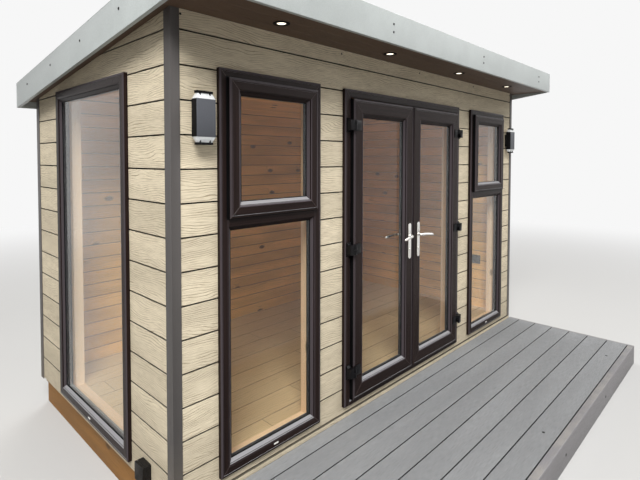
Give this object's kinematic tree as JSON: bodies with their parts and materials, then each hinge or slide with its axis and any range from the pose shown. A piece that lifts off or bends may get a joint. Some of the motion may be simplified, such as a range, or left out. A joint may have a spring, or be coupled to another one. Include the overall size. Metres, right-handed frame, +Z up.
{
  "type": "garden office pod",
  "caption": "Clad garden room with a sloping roof, glazed outward doors, full-height windows and a raised front deck.",
  "frame": {"origin": "on the ground, at the middle of the plan's overall width and depth", "axes": "+X along the front to the right as seen from outside, +Y from the front to the back, +Z up"},
  "size_m": [3.82, 3.02, 2.5322],
  "materials": {
    "base_timber": "sawn",
    "wall_panel": "board",
    "floor_boards": "satin",
    "deck_boards": "brushed composite",
    "cladding": "embossed wood grain",
    "corner_trim": "matte",
    "pine_lining": "satin",
    "roof_panel": "board",
    "roof_covering": "matte",
    "fascia": "satin",
    "soffit": "satin",
    "dark_frame": "foiled wood grain",
    "glass": "clear",
    "black_fittings": "satin",
    "light_body": "matte",
    "light_lens": "frosted",
    "satin_steel": "satin"
  },
  "bodies": {
    "pod": {"base_frame": "base_timber", "floor_panel": "wall_panel", "floor_boards": "floor_boards", "deck_frame": "base_timber", "deck_boards": "deck_boards", "deck_fascia": "deck_boards", "left_wall": "wall_panel", "right_wall": "wall_panel", "back_wall": "wall_panel", "front_wall_piers": "wall_panel", "front_wall_header": "wall_panel", "front_cladding": "cladding", "left_cladding": "cladding", "right_cladding": "cladding", "back_cladding": "cladding", "corner_trims": "corner_trim", "starter_strip": "cladding", "wall_lining": "pine_lining", "ceiling_lining": "pine_lining", "reveal_linings": "pine_lining", "roof_panel": "roof_panel", "roof_covering": "roof_covering", "front_fascia": "fascia", "side_fascias": "fascia", "rear_fascia": "fascia", "front_soffit": "soffit", "eaves_soffit": "soffit", "downlights": "black_fittings", "wall_light_bodies": "light_body", "wall_light_lenses": "light_lens", "cable_box": "black_fittings", "wall_socket": "black_fittings", "front_window_frames": "dark_frame", "vent_sashes": "dark_frame", "front_window_glass": "glass", "side_window_frame": "dark_frame", "side_window_glass": "glass", "door_frame": "dark_frame", "hinge_posts": "black_fittings"},
    "left_door": {"left_leaf": "dark_frame", "left_leaf_glass": "glass", "left_leaf_hinges": "black_fittings", "left_handle_plates": "satin_steel"},
    "right_door": {"right_leaf": "dark_frame", "right_leaf_glass": "glass", "right_leaf_hinges": "black_fittings", "right_handle_plates": "satin_steel"},
    "left_handle": {"left_lever": "satin_steel"},
    "right_handle": {"right_lever": "satin_steel"}
  },
  "joints": [
    {"name": "left_door_hinge", "type": "hinge", "parent": "pod", "child": "left_door", "pos_m": [-0.6535, -0.52, 1.183], "axis": [0, 0, -1], "range_deg": [0, 110]},
    {"name": "right_door_hinge", "type": "hinge", "parent": "pod", "child": "right_door", "pos_m": [0.6535, -0.52, 1.183], "axis": [0, 0, 1], "range_deg": [0, 110]},
    {"name": "left_lever_turn", "type": "hinge", "parent": "left_door", "child": "left_handle", "pos_m": [-0.055, -0.5, 1.195], "axis": [0, -1, 0], "range_deg": [0, 45], "stiffness_Nm_per_rad": 2},
    {"name": "right_lever_turn", "type": "hinge", "parent": "right_door", "child": "right_handle", "pos_m": [0.055, -0.5, 1.195], "axis": [0, 1, 0], "range_deg": [0, 45], "stiffness_Nm_per_rad": 2}
  ]
}
